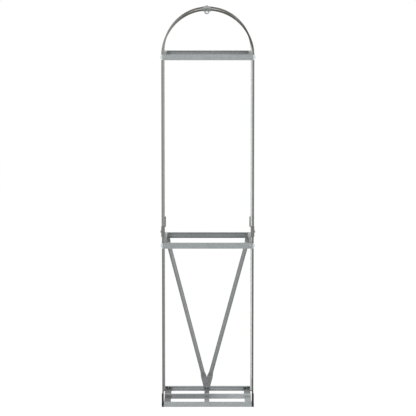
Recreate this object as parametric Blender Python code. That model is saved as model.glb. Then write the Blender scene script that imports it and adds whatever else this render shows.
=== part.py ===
"""A tall, narrow firewood rack of galvanised sheet steel.

Two arched hoops of channel stand one behind the other on four lower posts.
Cross rails, side rails, a ridge rail and a low floor tie the hoops together,
and a V of tube braces the back. Units are metres and +Z is up. The origin is
on the floor, under the middle of the rack's box; -Y is the front.
"""

import math

import bmesh
import bpy
from mathutils import Matrix, Vector

# Overall sizes of the frame
RACK_WIDTH = 0.460
RACK_DEPTH = 0.435
HOOP_TOP = 1.992
CENTRE_SHIFT = -0.0045

# Sheet steel and the clearance between neighbouring pieces
SHEET = 0.0012
FIT = 0.0003
SAME_PLACE = 0.0000001

# Channel of the hoops, and of the posts that slide into them
POST_DEPTH = 0.030
POST_FLANGE = 0.009
ARCH_STEPS = 36

# Joint of hoop and post: a sleeve round the outside and one bolt through all three
JOINT_BOTTOM = 0.861
JOINT_LAP = 0.050
SLEEVE_SHEET = 0.0015
SLEEVE_FLANGE = 0.0145

# Plastic shoes under the posts
SHOE_HEIGHT = 0.066
SHOE_BASE = 0.003
SHOE_WALL = 0.002
SHOE_WRAP = 0.0084

# Cross rails at the middle and at the spring of the arch
RAIL_HEIGHT = 0.028
RAIL_DEPTH = 0.020
RAIL_TAB = 0.024
MID_RAIL_BOTTOM = 0.8015
TOP_RAIL_DROP = 0.0225

# Side rails that run from the front rails to the back rails
SIDE_RAIL_WIDTH = 0.0135
SIDE_RAIL_GAP = 0.0005
COPE_GAP = 0.001

# Floor: three cross rails on three low bearers
FLOOR_RAIL_HEIGHT = 0.023
FLOOR_RAIL_DEPTH = 0.020
FLOOR_RAIL_TAB = 0.028
BEARER_HEIGHT = 0.010
SIDE_BEARER_WIDTH = 0.0328
MIDDLE_BEARER_WIDTH = 0.0245
MIDDLE_BEARER_INSET = 0.008
BEARER_BOLT_INSET = 0.014

# Ridge rail over the two crowns
RIDGE_WIDTH = 0.040
RIDGE_FLANGE = 0.010
RIDGE_TAB = 0.014

# Brace tubes, crushed flat and drilled at both ends
BRACE_DIAMETER = 0.022
BRACE_WALL = 0.0012
BRACE_SLOT = 0.0004
BRACE_GAP = 0.0005
BRACE_PAD_WIDTH = 0.030
BRACE_PAD_TOP = 0.030
BRACE_PAD_FOOT = 0.068
BRACE_TAPER = 0.034
BRACE_TIP = 0.009
BRACE_TIP_ROUND = 0.008
BRACE_SIDES = 16

# Bolts, nuts and their holes
BOLT_RADIUS = 0.003
HOLE_RADIUS = 0.0034
HEAD_ACROSS = 0.010
HEAD_HEIGHT = 0.004
NUT_HEIGHT = 0.005
BOLT_END = 0.002
SHORT_BOLT_END = 0.0007
FLAT_HEAD_RADIUS = 0.006
FLAT_HEAD_HEIGHT = 0.0012
CUTTER_LENGTH = 0.009
SHOE_CUTTER_LENGTH = 0.018
ROUND_SIDES = 12

# Eye bolt under the front crown
EYE_DIAMETER = 0.025
EYE_WIRE = 0.006
EYE_END = 0.003
CROWN_GAP = 0.0006
EYE_STEPS = 20
EYE_SIDES = 8

# Places that follow from the sizes above
HALF_WIDTH = RACK_WIDTH / 2
HALF_DEPTH = RACK_DEPTH / 2
SPRING = HOOP_TOP - HALF_WIDTH
TOP_RAIL_BOTTOM = SPRING - TOP_RAIL_DROP
NEST = SHEET + FIT
FLANGE_TIP = HALF_WIDTH - POST_FLANGE
LOWER_FACE = HALF_WIDTH - NEST
LOWER_FRONT = HALF_DEPTH - NEST
LOWER_DEPTH = POST_DEPTH - 2 * NEST
POST_MIDDLE = HALF_DEPTH - POST_DEPTH / 2
JOINT_TOP = JOINT_BOTTOM + JOINT_LAP
JOINT_MIDDLE = JOINT_BOTTOM + JOINT_LAP / 2
SIDE_RAIL_OUT = FLANGE_TIP - SIDE_RAIL_GAP
SIDE_RAIL_IN = SIDE_RAIL_OUT - SIDE_RAIL_WIDTH
SIDE_BOLT = SIDE_RAIL_OUT - NEST - HEAD_ACROSS / 2
RAIL_COPE = SIDE_RAIL_IN - COPE_GAP
FLOOR_RAIL_FACE = LOWER_FRONT + NEST
FLOOR_RAIL_END = FLANGE_TIP - FIT
FLOOR_BOLT = FLOOR_RAIL_HEIGHT / 2
BEARER_BOTTOM = SHEET + FIT
BEARER_TOP = BEARER_BOTTOM + BEARER_HEIGHT
BEARER_REACH = FLOOR_RAIL_FACE - NEST
SHOE_NUT_SEAT = FLOOR_RAIL_END - NEST
SHOE_BOLT_TIP = SHOE_NUT_SEAT - NUT_HEIGHT - BOLT_END
RIDGE_TOP = HOOP_TOP + FIT + SHEET
BRACE_PAD = 2 * BRACE_WALL + BRACE_SLOT
BRACE_FACE = FLOOR_RAIL_FACE + BRACE_GAP
BRACE_SECOND_FACE = BRACE_FACE + BRACE_PAD + BRACE_GAP
HEX_CORNER = HEAD_ACROSS / math.sqrt(3)

LEFT_RIGHT = ((-1, "left"), (1, "right"))
FRONT_REAR = ((-1, "front"), (1, "rear"))
CORNERS = tuple((side, end, end_name + "_" + side_name)
                for end, end_name in FRONT_REAR for side, side_name in LEFT_RIGHT)
RAIL_LEVELS = (("mid", MID_RAIL_BOTTOM, LOWER_FACE, LOWER_FRONT),
               ("top", TOP_RAIL_BOTTOM, HALF_WIDTH, HALF_DEPTH))


def clear_scene():
    """Start from an empty scene."""
    for old in list(bpy.data.objects):
        bpy.data.objects.remove(old, do_unlink=True)


def make_material(name, colour, roughness, metallic):
    """A plain Principled material."""
    material = bpy.data.materials.new(name)
    material.use_nodes = True
    shader = material.node_tree.nodes["Principled BSDF"]
    shader.inputs["Base Color"].default_value = (*colour, 1)
    shader.inputs["Roughness"].default_value = roughness
    shader.inputs["Metallic"].default_value = metallic
    material.diffuse_color = (*colour, 1)
    return material


def finish_object(name, shape, material):
    """Turn a bmesh into a named object whose faces point outwards."""
    bmesh.ops.recalc_face_normals(shape, faces=shape.faces)
    mesh = bpy.data.meshes.new(name)
    shape.to_mesh(mesh)
    shape.free()
    mesh.materials.append(material)
    made = bpy.data.objects.new(name, mesh)
    bpy.context.scene.collection.objects.link(made)
    return made


def hide_helper(helper):
    """Keep a cutter or a guide out of the picture."""
    helper.hide_render = True
    helper.display_type = "WIRE"


def shade_round(made):
    """Shade round faces smooth and keep the folds sharp."""
    made.data.shade_smooth()
    made.data.set_sharp_from_angle(angle=math.radians(35))


def between(first, second):
    """An interval with its lower end first."""
    return (min(first, second), max(first, second))


def sheet_from(face, towards):
    """The interval of a sheet that starts at a face and thickens towards +1 or -1."""
    return between(face, face + towards * SHEET)


def one_each(values):
    """Sorted values without near repeats."""
    kept = []
    for value in sorted(values):
        if not kept or value - kept[-1] > SAME_PLACE:
            kept.append(value)
    return kept


def folded_shape(plates):
    """One closed skin round flat plates that meet, each given as its x, y and z intervals."""
    cuts = [one_each([edge for plate in plates for edge in plate[axis]]) for axis in range(3)]
    counts = [len(cut) - 1 for cut in cuts]

    def is_solid(cell):
        if any(not 0 <= cell[axis] < counts[axis] for axis in range(3)):
            return False
        middle = [(cuts[axis][cell[axis]] + cuts[axis][cell[axis] + 1]) / 2 for axis in range(3)]
        return any(all(plate[axis][0] < middle[axis] < plate[axis][1] for axis in range(3))
                   for plate in plates)

    shape = bmesh.new()
    corners = {}

    def corner(place):
        if place not in corners:
            corners[place] = shape.verts.new([cuts[axis][place[axis]] for axis in range(3)])
        return corners[place]

    cells = [(i, j, k) for i in range(counts[0]) for j in range(counts[1]) for k in range(counts[2])]
    for cell in filter(is_solid, cells):
        for axis in range(3):
            across, along = (axis + 1) % 3, (axis + 2) % 3
            for step in (0, 1):
                beyond = list(cell)
                beyond[axis] += 2 * step - 1
                if is_solid(tuple(beyond)):
                    continue
                ring = []
                for over, up in ((0, 0), (1, 0), (1, 1), (0, 1)):
                    place = list(cell)
                    place[axis] += step
                    place[across] += over
                    place[along] += up
                    ring.append(corner(tuple(place)))
                shape.faces.new(ring)
    bmesh.ops.recalc_face_normals(shape, faces=shape.faces)
    bmesh.ops.dissolve_limit(shape, angle_limit=math.radians(1), verts=shape.verts, edges=shape.edges)
    return shape


def drill(target, holes, length=CUTTER_LENGTH):
    """Cut round holes, each given by its middle and its direction."""
    shape = bmesh.new()
    for middle, direction in holes:
        turn = Vector(direction).to_track_quat("Z", "Y").to_matrix().to_4x4()
        bmesh.ops.create_cone(shape, cap_ends=True, segments=ROUND_SIDES, radius1=HOLE_RADIUS,
                              radius2=HOLE_RADIUS, depth=length,
                              matrix=Matrix.Translation(middle) @ turn)
    cutter = finish_object(target.name + "_cutter", shape, target.data.materials[0])
    hide_helper(cutter)
    cut = target.modifiers.new("holes", "BOOLEAN")
    cut.operation = "DIFFERENCE"
    cut.solver = "EXACT"
    cut.object = cutter


def wall_between(shape, near, far):
    """Quads from one loop to the next."""
    for i in range(len(near)):
        j = (i + 1) % len(near)
        shape.faces.new((near[i], near[j], far[j], far[i]))


def add_loop(shape, middle, normal, start, radius, count):
    """A loop of vertices on a circle, the first one towards start."""
    side = normal.cross(start)
    angles = [2 * math.pi * i / count for i in range(count)]
    return [shape.verts.new(middle + radius * (math.cos(a) * start + math.sin(a) * side))
            for a in angles]


def hoop_rings(end):
    """The hoop's channel outline, carried up one leg, round the arch and down the other."""
    outer = end * HALF_DEPTH
    inner = end * (HALF_DEPTH - POST_DEPTH)
    outer_skin = outer - end * SHEET
    inner_skin = inner + end * SHEET
    outline = ((0, outer), (0, inner), (POST_FLANGE, inner), (POST_FLANGE, inner_skin),
               (SHEET, inner_skin), (SHEET, outer_skin), (POST_FLANGE, outer_skin), (POST_FLANGE, outer))
    path = [(-1, 0, JOINT_BOTTOM)]
    for i in range(ARCH_STEPS + 1):
        turn = math.pi * i / ARCH_STEPS
        path.append((-math.cos(turn), math.sin(turn), SPRING))
    path.append((1, 0, JOINT_BOTTOM))
    rings = []
    for sideways, upwards, base in path:
        rings.append([Vector((sideways * (HALF_WIDTH - inset), y,
                              base + upwards * (HALF_WIDTH - inset))) for inset, y in outline])
    return rings


def make_hoop(end, name, steel):
    """An arched hoop of channel with its bolt holes."""
    shape = bmesh.new()
    loops = [[shape.verts.new(point) for point in ring] for ring in hoop_rings(end)]
    for near, far in zip(loops, loops[1:]):
        wall_between(shape, near, far)
    shape.faces.new(loops[0])
    shape.faces.new(loops[-1])
    hoop = finish_object("hoop_" + name, shape, steel)
    middle = end * POST_MIDDLE
    holes = [((CENTRE_SHIFT, middle, HOOP_TOP), (0, 0, 1))]
    for side, _ in LEFT_RIGHT:
        for height in (JOINT_MIDDLE, TOP_RAIL_BOTTOM + RAIL_HEIGHT / 2):
            holes.append(((side * HALF_WIDTH, middle, height), (1, 0, 0)))
    drill(hoop, holes)
    shade_round(hoop)


def make_lower_post(side, end, name, steel):
    """A lower post, nested in the hoop's end above and in its shoe below."""
    outer = end * LOWER_FRONT
    inner = end * (LOWER_FRONT - LOWER_DEPTH)
    heights = (SHOE_BASE + FIT, JOINT_TOP)
    flange = between(side * LOWER_FACE, side * FLANGE_TIP)
    plates = [
        (sheet_from(side * LOWER_FACE, -side), between(outer, inner), heights),
        (flange, sheet_from(outer, -end), heights),
        (flange, sheet_from(inner, end), heights),
    ]
    post = finish_object("lower_post_" + name, folded_shape(plates), steel)
    bolt_heights = (FLOOR_BOLT, MID_RAIL_BOTTOM + RAIL_HEIGHT / 2, JOINT_MIDDLE)
    drill(post, [((side * LOWER_FACE, end * POST_MIDDLE, height), (1, 0, 0))
                 for height in bolt_heights])


def make_joint_sleeve(side, end, name, steel):
    """The sleeve that wraps one joint of hoop and lower post from outside."""
    face = HALF_WIDTH + FIT
    skin = face + SLEEVE_SHEET
    tip = HALF_WIDTH - SLEEVE_FLANGE
    outer = HALF_DEPTH + FIT
    inner = HALF_DEPTH - POST_DEPTH - FIT
    heights = (JOINT_BOTTOM, JOINT_TOP)
    flange = between(side * tip, side * skin)
    plates = [
        (between(side * face, side * skin), between(end * outer, end * inner), heights),
        (flange, between(end * outer, end * (outer + SLEEVE_SHEET)), heights),
        (flange, between(end * inner, end * (inner - SLEEVE_SHEET)), heights),
    ]
    sleeve = finish_object("joint_sleeve_" + name, folded_shape(plates), steel)
    drill(sleeve, [((side * HALF_WIDTH, end * POST_MIDDLE, JOINT_MIDDLE), (1, 0, 0))])


def make_cross_rail(name, end, bottom, face, front, steel):
    """A rail across a pair of posts, with its ends folded back along their outer faces."""
    top = bottom + RAIL_HEIGHT
    heights = (bottom, top)
    skin = end * (front + NEST)
    reach = face + NEST
    flange = between(skin, skin - end * RAIL_DEPTH)
    plates = [
        ((-reach, reach), sheet_from(skin, -end), heights),
        ((-RAIL_COPE, RAIL_COPE), flange, sheet_from(bottom, 1)),
        ((-RAIL_COPE, RAIL_COPE), flange, sheet_from(top, -1)),
    ]
    for side, _ in LEFT_RIGHT:
        plates.append((sheet_from(side * reach, -side), between(skin, skin - end * RAIL_TAB), heights))
    rail = finish_object(name, folded_shape(plates), steel)
    middle = bottom + RAIL_HEIGHT / 2
    holes = []
    for side, _ in LEFT_RIGHT:
        holes.append(((side * reach, end * POST_MIDDLE, middle), (1, 0, 0)))
        holes.append(((side * SIDE_BOLT, skin, middle), (0, 1, 0)))
    drill(rail, holes)


def make_side_rail(name, side, bottom, front, steel):
    """A channel along one side, closed by a drilled tab at each end."""
    top = bottom + RAIL_HEIGHT
    xs = between(side * SIDE_RAIL_IN, side * SIDE_RAIL_OUT)
    ys = (-front, front)
    plates = [
        (sheet_from(side * SIDE_RAIL_OUT, -side), ys, (bottom, top)),
        (xs, ys, sheet_from(bottom, 1)),
        (xs, ys, sheet_from(top, -1)),
        (xs, sheet_from(-front, 1), (bottom, top)),
        (xs, sheet_from(front, -1), (bottom, top)),
    ]
    rail = finish_object(name, folded_shape(plates), steel)
    middle = bottom + RAIL_HEIGHT / 2
    drill(rail, [((side * SIDE_BOLT, end * front, middle), (0, 1, 0)) for end, _ in FRONT_REAR])


def bearer_centres():
    """The x place of the bolts in each bearer."""
    side_middle = SIDE_RAIL_OUT - SIDE_BEARER_WIDTH / 2
    return (-side_middle, CENTRE_SHIFT, side_middle)


def floor_bolt_rows():
    """The y place of the bolts in the front, middle and rear floor rails."""
    outer = FLOOR_RAIL_FACE - BEARER_BOLT_INSET
    return (-outer, BEARER_BOLT_INSET - FLOOR_RAIL_DEPTH / 2, outer)


def make_end_floor_rail(end, name, steel):
    """The front or rear floor rail: a channel that opens towards the middle."""
    skin = end * FLOOR_RAIL_FACE
    heights = (0, FLOOR_RAIL_HEIGHT)
    xs = (-FLOOR_RAIL_END, FLOOR_RAIL_END)
    flange = between(skin, skin - end * FLOOR_RAIL_DEPTH)
    plates = [
        (xs, sheet_from(skin, -end), heights),
        (xs, flange, sheet_from(0, 1)),
        (xs, flange, sheet_from(FLOOR_RAIL_HEIGHT, -1)),
    ]
    for side, _ in LEFT_RIGHT:
        tab = between(skin, skin - end * FLOOR_RAIL_TAB)
        plates.append((sheet_from(side * FLOOR_RAIL_END, -side), tab, heights))
    rail = finish_object("floor_rail_" + name, folded_shape(plates), steel)
    row = floor_bolt_rows()[1 + end]
    holes = [((x, row, FLOOR_RAIL_HEIGHT), (0, 0, 1)) for x in bearer_centres()]
    for side, _ in LEFT_RIGHT:
        holes.append(((side * FLOOR_RAIL_END, end * POST_MIDDLE, FLOOR_BOLT), (1, 0, 0)))
    if end > 0:
        holes.append(((CENTRE_SHIFT, skin, FLOOR_BOLT), (0, 1, 0)))
    drill(rail, holes)


def make_middle_floor_rail(steel):
    """The middle floor rail, with windows in its web where the bearers pass."""
    front = -FLOOR_RAIL_DEPTH / 2
    back = FLOOR_RAIL_DEPTH / 2
    sill = BEARER_TOP + FIT
    inner = SIDE_RAIL_OUT - SIDE_BEARER_WIDTH - FIT
    slot_left = CENTRE_SHIFT - MIDDLE_BEARER_WIDTH / 2 - FIT
    slot_right = CENTRE_SHIFT + MIDDLE_BEARER_WIDTH / 2 + FIT
    web = sheet_from(front, 1)
    xs = (-SIDE_RAIL_OUT, SIDE_RAIL_OUT)
    plates = [
        (xs, web, (sill, FLOOR_RAIL_HEIGHT)),
        ((-inner, slot_left), web, (0, sill)),
        ((slot_right, inner), web, (0, sill)),
        (xs, (front, back), sheet_from(0, 1)),
        (xs, (front, back), sheet_from(FLOOR_RAIL_HEIGHT, -1)),
    ]
    rail = finish_object("floor_rail_middle", folded_shape(plates), steel)
    row = floor_bolt_rows()[1]
    drill(rail, [((x, row, FLOOR_RAIL_HEIGHT), (0, 0, 1)) for x in bearer_centres()])


def drill_bearer(bearer, x):
    """The bearer's three bolt holes."""
    drill(bearer, [((x, row, BEARER_TOP), (0, 0, 1)) for row in floor_bolt_rows()])


def make_side_bearer(side, name, steel):
    """A low channel under the floor rails, cut back at its outer corners for their end tabs."""
    inner = SIDE_RAIL_OUT - SIDE_BEARER_WIDTH
    full = FLOOR_RAIL_FACE - FLOOR_RAIL_TAB - COPE_GAP
    narrow = SHOE_BOLT_TIP - COPE_GAP
    heights = (BEARER_BOTTOM, BEARER_TOP)
    web = sheet_from(BEARER_TOP, -1)
    plates = [
        (between(side * inner, side * SIDE_RAIL_OUT), (-full, full), web),
        (between(side * inner, side * narrow), (-BEARER_REACH, BEARER_REACH), web),
        (sheet_from(side * inner, side), (-BEARER_REACH, BEARER_REACH), heights),
        (sheet_from(side * SIDE_RAIL_OUT, -side), (-full, full), heights),
    ]
    bearer = finish_object("bearer_" + name, folded_shape(plates), steel)
    drill_bearer(bearer, side * (SIDE_RAIL_OUT - SIDE_BEARER_WIDTH / 2))


def make_middle_bearer(steel):
    """The middle bearer, short of the brace bolt behind it."""
    left = CENTRE_SHIFT - MIDDLE_BEARER_WIDTH / 2
    right = CENTRE_SHIFT + MIDDLE_BEARER_WIDTH / 2
    reach = FLOOR_RAIL_FACE - MIDDLE_BEARER_INSET
    heights = (BEARER_BOTTOM, BEARER_TOP)
    plates = [
        ((left, right), (-reach, reach), sheet_from(BEARER_TOP, -1)),
        (sheet_from(left, 1), (-reach, reach), heights),
        (sheet_from(right, -1), (-reach, reach), heights),
    ]
    bearer = finish_object("bearer_middle", folded_shape(plates), steel)
    drill_bearer(bearer, CENTRE_SHIFT)


def make_shoe(side, end, name, plastic):
    """A plastic shoe: a base, two walls round the post's outer corner and a plug inside it."""
    outer = LOWER_FACE + FIT
    front = LOWER_FRONT + FIT
    back = LOWER_FRONT - LOWER_DEPTH
    inner = FLANGE_TIP + FIT
    skin_x = outer + SHOE_WALL
    skin_y = front + SHOE_WALL
    tall = (0, SHOE_HEIGHT)
    plates = [
        (between(side * inner, side * skin_x), between(end * skin_y, end * back), (0, SHOE_BASE)),
        (between(side * outer, side * skin_x), between(end * skin_y, end * back), tall),
        (between(side * (skin_x - SHOE_WRAP), side * skin_x), between(end * front, end * skin_y), tall),
        (between(side * inner, side * (LOWER_FACE - NEST)),
         between(end * (LOWER_FRONT - NEST), end * (back + NEST)), tall),
    ]
    shoe = finish_object("shoe_" + name, folded_shape(plates), plastic)
    drill(shoe, [((side * LOWER_FACE, end * POST_MIDDLE, FLOOR_BOLT), (1, 0, 0))], SHOE_CUTTER_LENGTH)


def make_ridge_rail(steel):
    """The ridge rail: a channel over both crowns with a tab folded down at each end."""
    left = CENTRE_SHIFT - RIDGE_WIDTH / 2
    right = CENTRE_SHIFT + RIDGE_WIDTH / 2
    reach = HALF_DEPTH + NEST
    clear = HALF_DEPTH - POST_DEPTH - FIT
    flange = (RIDGE_TOP - RIDGE_FLANGE, RIDGE_TOP)
    tab = (RIDGE_TOP - RIDGE_TAB, RIDGE_TOP)
    plates = [
        ((left, right), (-reach, reach), sheet_from(RIDGE_TOP, -1)),
        (sheet_from(left, 1), (-clear, clear), flange),
        (sheet_from(right, -1), (-clear, clear), flange),
        ((left, right), sheet_from(-reach, 1), tab),
        ((left, right), sheet_from(reach, -1), tab),
    ]
    rail = finish_object("ridge_rail", folded_shape(plates), steel)
    drill(rail, [((CENTRE_SHIFT, end * POST_MIDDLE, RIDGE_TOP), (0, 0, 1)) for end, _ in FRONT_REAR])


def brace_section(width, height):
    """Points round a tube's section, from a full circle to a flat pad."""
    points = []
    for i in range(BRACE_SIDES):
        turn = 2 * math.pi * i / BRACE_SIDES
        rise = math.sin(turn) * (2 - height / BRACE_DIAMETER)
        rise = max(-1, min(1, rise))
        points.append((math.cos(turn) * width / 2, rise * height / 2))
    return points


def brace_stations(length):
    """Places along a brace, each with its share of crushing and the share of its full width."""
    tip_shares = ((0, 0.55), (0.4, 0.82), (1, 1))
    taper_shares = (0, 0.15, 0.5, 0.85, 1)
    stations = [(BRACE_TIP_ROUND * along, 1, width) for along, width in tip_shares]
    steps = len(taper_shares) - 1
    for i, share in enumerate(taper_shares):
        stations.append((BRACE_PAD_FOOT + BRACE_TAPER * i / steps, 1 - share, 1))
    for i, share in enumerate(taper_shares):
        stations.append((length - BRACE_PAD_TOP - BRACE_TAPER * (steps - i) / steps, share, 1))
    stations += [(length - BRACE_TIP_ROUND * along, 1, width) for along, width in reversed(tip_shares)]
    return stations


def make_brace(side, name, foot_face, steel):
    """A brace tube from the middle of the rear floor rail up to one end of the rear middle rail."""
    rail_middle = MID_RAIL_BOTTOM + RAIL_HEIGHT / 2
    foot_bolt = Vector((CENTRE_SHIFT, foot_face + BRACE_PAD / 2, FLOOR_BOLT))
    top_bolt = Vector((side * SIDE_BOLT, BRACE_FACE + BRACE_PAD / 2, rail_middle))
    along = (top_bolt - foot_bolt).normalized()
    outward = (Vector((0, 1, 0)) - along * along.y).normalized()
    across = outward.cross(along)
    start = foot_bolt - along * BRACE_TIP
    length = (top_bolt - foot_bolt).length + 2 * BRACE_TIP
    shape = bmesh.new()
    skins = []
    for inset in (0, BRACE_WALL):
        loops = []
        for place, crushed, spread in brace_stations(length):
            width = BRACE_DIAMETER + (BRACE_PAD_WIDTH - BRACE_DIAMETER) * crushed
            height = BRACE_DIAMETER + (BRACE_PAD - BRACE_DIAMETER) * crushed
            section = brace_section(width * spread - 2 * inset, height - 2 * inset)
            loops.append([shape.verts.new(start + along * place + across * u + outward * v)
                          for u, v in section])
        for near, far in zip(loops, loops[1:]):
            wall_between(shape, near, far)
        skins.append(loops)
    for last in (0, -1):
        wall_between(shape, skins[0][last], skins[1][last])
    brace = finish_object("brace_" + name, shape, steel)
    drill(brace, [(foot_bolt, (0, 1, 0)), (top_bolt, (0, 1, 0))])
    shade_round(brace)


def join_hex_to_round(shape, hexagon, circle):
    """Flat faces between a hexagon and the round shank inside it."""
    step = len(circle) // len(hexagon)
    for i in range(len(hexagon)):
        arc = [circle[(step * i + j) % len(circle)] for j in range(step + 1)]
        shape.faces.new([hexagon[i], hexagon[(i + 1) % len(hexagon)], *reversed(arc)])


def add_nutted_shank(shape, neck_place, nut_seat, end):
    """A shank with its nut screwed on, open at the neck; gives the neck and its directions back."""
    outward = (neck_place - nut_seat).normalized()
    start = Vector((1, 0, 0)) if abs(outward.z) > abs(outward.x) + abs(outward.y) else Vector((0, 0, 1))
    nut_face = nut_seat - outward * NUT_HEIGHT

    def loop(middle, radius, count):
        return add_loop(shape, middle, outward, start, radius, count)

    tip = loop(nut_face - outward * end, BOLT_RADIUS, ROUND_SIDES)
    below = loop(nut_face, BOLT_RADIUS, ROUND_SIDES)
    nut_low = loop(nut_face, HEX_CORNER, 6)
    nut_high = loop(nut_seat, HEX_CORNER, 6)
    above = loop(nut_seat, BOLT_RADIUS, ROUND_SIDES)
    neck = loop(neck_place, BOLT_RADIUS, ROUND_SIDES)
    shape.faces.new(tip)
    wall_between(shape, tip, below)
    join_hex_to_round(shape, nut_low, below)
    wall_between(shape, nut_low, nut_high)
    join_hex_to_round(shape, nut_high, above)
    wall_between(shape, above, neck)
    return neck, outward, start


def make_hex_bolt(name, head_seat, nut_seat, zinc, end=BOLT_END):
    """A hexagon bolt with its nut on it, from the head's seat to the nut's seat."""
    shape = bmesh.new()
    neck, outward, start = add_nutted_shank(shape, head_seat, nut_seat, end)
    under = add_loop(shape, head_seat, outward, start, HEX_CORNER, 6)
    top = add_loop(shape, head_seat + outward * HEAD_HEIGHT, outward, start, HEX_CORNER, 6)
    join_hex_to_round(shape, under, neck)
    wall_between(shape, under, top)
    shape.faces.new(top)
    shade_round(finish_object(name, shape, zinc))


def make_flat_bolt(name, head_seat, nut_seat, zinc):
    """A bolt with a thin round head and its nut on it."""
    shape = bmesh.new()
    neck, outward, start = add_nutted_shank(shape, head_seat, nut_seat, BOLT_END)
    under = add_loop(shape, head_seat, outward, start, FLAT_HEAD_RADIUS, ROUND_SIDES)
    top = add_loop(shape, head_seat + outward * FLAT_HEAD_HEIGHT, outward, start, FLAT_HEAD_RADIUS,
                   ROUND_SIDES)
    wall_between(shape, neck, under)
    wall_between(shape, under, top)
    shape.faces.new(top)
    shade_round(finish_object(name, shape, zinc))


def make_post_bolts(zinc):
    """The bolts that cross the posts: at the joints, at the rails' folded ends and at the shoes."""
    for side, end, name in CORNERS:
        y = end * POST_MIDDLE
        make_hex_bolt("joint_bolt_" + name,
                      Vector((side * (HALF_WIDTH + SLEEVE_SHEET + 2 * FIT), y, JOINT_MIDDLE)),
                      Vector((side * (LOWER_FACE - NEST), y, JOINT_MIDDLE)), zinc)
        make_flat_bolt("shoe_bolt_" + name,
                       Vector((side * (LOWER_FACE + SHOE_WALL + 2 * FIT), y, FLOOR_BOLT)),
                       Vector((side * SHOE_NUT_SEAT, y, FLOOR_BOLT)), zinc)
        for level, bottom, face, _ in RAIL_LEVELS:
            height = bottom + RAIL_HEIGHT / 2
            make_hex_bolt("rail_bolt_" + level + "_" + name,
                          Vector((side * (face + NEST + FIT), y, height)),
                          Vector((side * (face - NEST), y, height)), zinc, SHORT_BOLT_END)


def make_side_rail_bolts(zinc):
    """The bolts through the cross rails into the side rails; two of them hold the brace as well."""
    for level, bottom, _, front in RAIL_LEVELS:
        height = bottom + RAIL_HEIGHT / 2
        for side, end, name in CORNERS:
            holds_brace = level == "mid" and end > 0
            node = "brace_bolt_" + name if holds_brace else "side_rail_bolt_" + level + "_" + name
            seat = BRACE_FACE + BRACE_PAD + FIT if holds_brace else front + NEST + FIT
            make_hex_bolt(node, Vector((side * SIDE_BOLT, end * seat, height)),
                          Vector((side * SIDE_BOLT, end * (front - NEST), height)), zinc)
    make_hex_bolt("brace_bolt_foot",
                  Vector((CENTRE_SHIFT, BRACE_SECOND_FACE + BRACE_PAD + FIT, FLOOR_BOLT)),
                  Vector((CENTRE_SHIFT, FLOOR_RAIL_FACE - NEST, FLOOR_BOLT)), zinc, SHORT_BOLT_END)


def make_crown_bolts(zinc):
    """An eye bolt hangs in the front crown, and a hexagon bolt holds the rear crown."""
    under = HOOP_TOP - SHEET - CROWN_GAP
    over = RIDGE_TOP + FIT
    make_hex_bolt("crown_bolt", Vector((CENTRE_SHIFT, POST_MIDDLE, over)),
                  Vector((CENTRE_SHIFT, POST_MIDDLE, under)), zinc)

    ring_radius = (EYE_DIAMETER - EYE_WIRE) / 2
    middle = Vector((CENTRE_SHIFT, -POST_MIDDLE, under - EYE_DIAMETER / 2))
    ring = bmesh.new()
    loops = []
    for i in range(EYE_STEPS):
        turn = 2 * math.pi * i / EYE_STEPS
        spoke = Vector((math.cos(turn), 0, math.sin(turn)))
        tangent = Vector((math.sin(turn), 0, -math.cos(turn)))
        loops.append(add_loop(ring, middle + ring_radius * spoke, tangent, spoke, EYE_WIRE / 2, EYE_SIDES))
    for i in range(EYE_STEPS):
        wall_between(ring, loops[i], loops[(i + 1) % EYE_STEPS])
    eye = finish_object("eye_bolt", ring, zinc)

    shank = bmesh.new()
    neck, _, _ = add_nutted_shank(shank, middle + ring_radius * Vector((0, 0, 1)),
                                  Vector((CENTRE_SHIFT, -POST_MIDDLE, over)), EYE_END)
    shank.faces.new(neck)
    stem = finish_object("eye_bolt_stem", shank, zinc)
    hide_helper(stem)
    join = eye.modifiers.new("stem", "BOOLEAN")
    join.operation = "UNION"
    join.solver = "EXACT"
    join.object = stem
    shade_round(eye)


def centre_depth():
    """Hang every piece on one empty, set so that the rack's box has its middle on the origin."""
    bpy.context.view_layer.update()
    graph = bpy.context.evaluated_depsgraph_get()
    pieces = list(bpy.data.objects)
    depths = [corner[1] for piece in pieces if not piece.hide_render
              for corner in piece.evaluated_get(graph).bound_box]
    rack = bpy.data.objects.new("rack", None)
    bpy.context.scene.collection.objects.link(rack)
    rack.location.y = -(min(depths) + max(depths)) / 2
    for piece in pieces:
        piece.parent = rack


def build():
    """Every piece of the rack."""
    clear_scene()
    steel = make_material("galvanised_steel", (0.26, 0.265, 0.25), 0.42, 0.55)
    rail_steel = make_material("galvanised_rail", (0.35, 0.37, 0.37), 0.42, 0.55)
    tube_steel = make_material("galvanised_tube", (0.25, 0.26, 0.26), 0.40, 0.55)
    zinc = make_material("zinc_plated_steel", (0.36, 0.38, 0.41), 0.32, 0.85)
    plastic = make_material("black_plastic", (0.008, 0.008, 0.0075), 0.55, 0.0)

    for side, end, name in CORNERS:
        make_lower_post(side, end, name, steel)
        make_joint_sleeve(side, end, name, steel)
        make_shoe(side, end, name, plastic)
    for end, name in FRONT_REAR:
        make_hoop(end, name, steel)
        make_end_floor_rail(end, name, rail_steel)
        for level, bottom, face, front in RAIL_LEVELS:
            make_cross_rail("cross_rail_" + level + "_" + name, end, bottom, face, front, rail_steel)
    for side, name in LEFT_RIGHT:
        make_side_bearer(side, name, rail_steel)
        for level, bottom, _, front in RAIL_LEVELS:
            make_side_rail("side_rail_" + level + "_" + name, side, bottom, front, rail_steel)
    make_middle_floor_rail(rail_steel)
    make_middle_bearer(rail_steel)
    make_ridge_rail(rail_steel)
    make_brace(-1, "left", BRACE_FACE, tube_steel)
    make_brace(1, "right", BRACE_SECOND_FACE, tube_steel)
    make_post_bolts(zinc)
    make_side_rail_bolts(zinc)
    make_crown_bolts(zinc)
    centre_depth()


build()
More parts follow.
